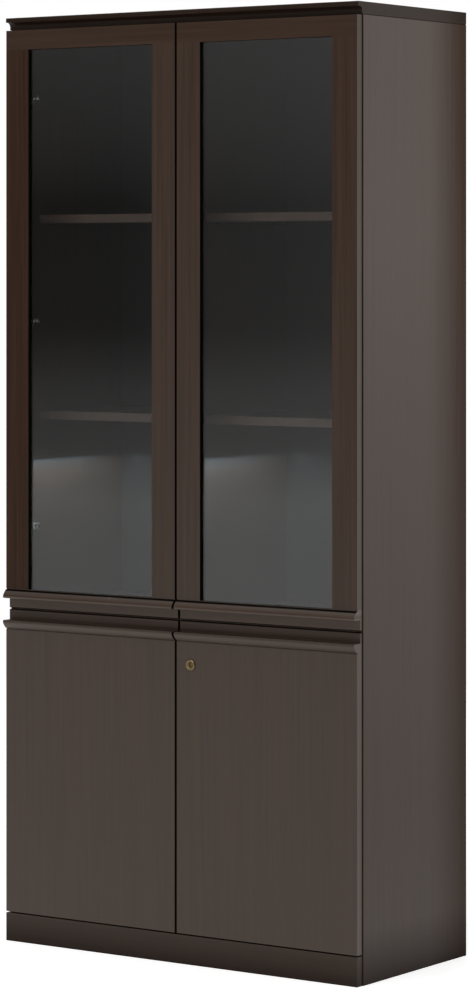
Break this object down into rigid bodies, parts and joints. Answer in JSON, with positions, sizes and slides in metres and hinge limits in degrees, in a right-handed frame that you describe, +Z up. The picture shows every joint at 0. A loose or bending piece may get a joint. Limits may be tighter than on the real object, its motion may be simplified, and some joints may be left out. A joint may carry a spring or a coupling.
{
  "type": "two-section office bookcase",
  "caption": "Tall free-standing bookcase with framed glass doors over shelves above, solid doors with a cam lock below, and lipped full-width pulls.",
  "frame": {"origin": "middle of the footprint on the floor, halfway between the pull lips and the rear edges of the sides", "axes": "+Z up, +Y to the back, +X to the right of someone who faces the doors"},
  "size_m": [0.9, 0.4275, 1.975],
  "materials": {
    "dark_moulding": "dark stained, satin",
    "side_laminate": "satin grained laminate",
    "inner_laminate": "satin grained laminate",
    "back_board": "smooth painted board",
    "plinth_laminate": "satin grained laminate",
    "frame_laminate": "satin grained laminate",
    "door_laminate": "satin grained laminate",
    "clear_glass": "clear float glass",
    "black_plastic": "matte",
    "nickel_steel": "nickel plated",
    "zinc_fittings": "zinc plated",
    "soft_rubber": "matte",
    "lock_brass": "satin brass"
  },
  "bodies": {
    "carcass": {"top_panel": "dark_moulding", "left_side_panel": "side_laminate", "right_side_panel": "side_laminate", "bottom_panel": "inner_laminate", "division_panel": "inner_laminate", "upper_partition": "inner_laminate", "upper_left_low_shelf": "inner_laminate", "upper_left_high_shelf": "inner_laminate", "upper_right_low_shelf": "inner_laminate", "upper_right_high_shelf": "inner_laminate", "lower_shelf": "inner_laminate", "back_panel": "back_board", "plinth_front": "plinth_laminate", "plinth_rear": "plinth_laminate", "corner_blocks": "black_plastic", "left_shelf_pins": "nickel_steel", "left_hinge_plates": "nickel_steel", "left_hinge_arms": "nickel_steel", "right_shelf_pins": "nickel_steel", "right_hinge_plates": "nickel_steel", "right_hinge_arms": "nickel_steel", "partition_shelf_pins": "nickel_steel"},
    "upper_left_door": {"upper_left_top_rail": "frame_laminate", "upper_left_hinge_stile": "frame_laminate", "upper_left_meeting_stile": "frame_laminate", "upper_left_pull": "frame_laminate", "upper_left_glass": "clear_glass", "upper_left_glass_beads": "black_plastic", "upper_left_hinge_cups": "nickel_steel", "upper_left_hinge_pins": "nickel_steel", "upper_left_bumpers": "soft_rubber"},
    "lower_left_door": {"lower_left_panel": "door_laminate", "lower_left_pull": "door_laminate", "lower_left_hinge_cups": "nickel_steel", "lower_left_hinge_pins": "nickel_steel", "lower_left_bumpers": "soft_rubber", "lock_strike": "zinc_fittings", "bolt_case": "zinc_fittings"},
    "upper_right_door": {"upper_right_top_rail": "frame_laminate", "upper_right_hinge_stile": "frame_laminate", "upper_right_meeting_stile": "frame_laminate", "upper_right_pull": "frame_laminate", "upper_right_glass": "clear_glass", "upper_right_glass_beads": "black_plastic", "upper_right_hinge_cups": "nickel_steel", "upper_right_hinge_pins": "nickel_steel", "upper_right_bumpers": "soft_rubber"},
    "lower_right_door": {"lower_right_panel": "door_laminate", "lower_right_pull": "door_laminate", "lower_right_hinge_cups": "nickel_steel", "lower_right_hinge_pins": "nickel_steel", "lower_right_bumpers": "soft_rubber", "lock_body": "lock_brass", "lock_nut": "zinc_fittings"},
    "lock_core": {"lock_plug": "lock_brass", "lock_cam": "zinc_fittings"},
    "slide_bolt": {"door_bolt": "zinc_fittings"}
  },
  "joints": [
    {"name": "upper_left_door_hinge", "type": "hinge", "parent": "carcass", "child": "upper_left_door", "pos_m": [-0.4415, -0.19525, 1.33], "axis": [0, 0, -1], "range_deg": [0, 105]},
    {"name": "upper_right_door_hinge", "type": "hinge", "parent": "carcass", "child": "upper_right_door", "pos_m": [0.4415, -0.19525, 1.33], "axis": [0, 0, 1], "range_deg": [0, 105]},
    {"name": "lower_left_door_hinge", "type": "hinge", "parent": "carcass", "child": "lower_left_door", "pos_m": [-0.4415, -0.19525, 0.385], "axis": [0, 0, -1], "range_deg": [0, 105]},
    {"name": "lower_right_door_hinge", "type": "hinge", "parent": "carcass", "child": "lower_right_door", "pos_m": [0.4415, -0.19525, 0.385], "axis": [0, 0, 1], "range_deg": [0, 105]},
    {"name": "lock_turn", "type": "hinge", "parent": "lower_right_door", "child": "lock_core", "pos_m": [0.038, -0.20225, 0.62], "axis": [0, 1, 0], "range_deg": [0, 90]},
    {"name": "bolt_slide", "type": "slide", "parent": "lower_left_door", "child": "slide_bolt", "axis": [0, 0, 1], "range_m": [0, 0.012]}
  ]
}
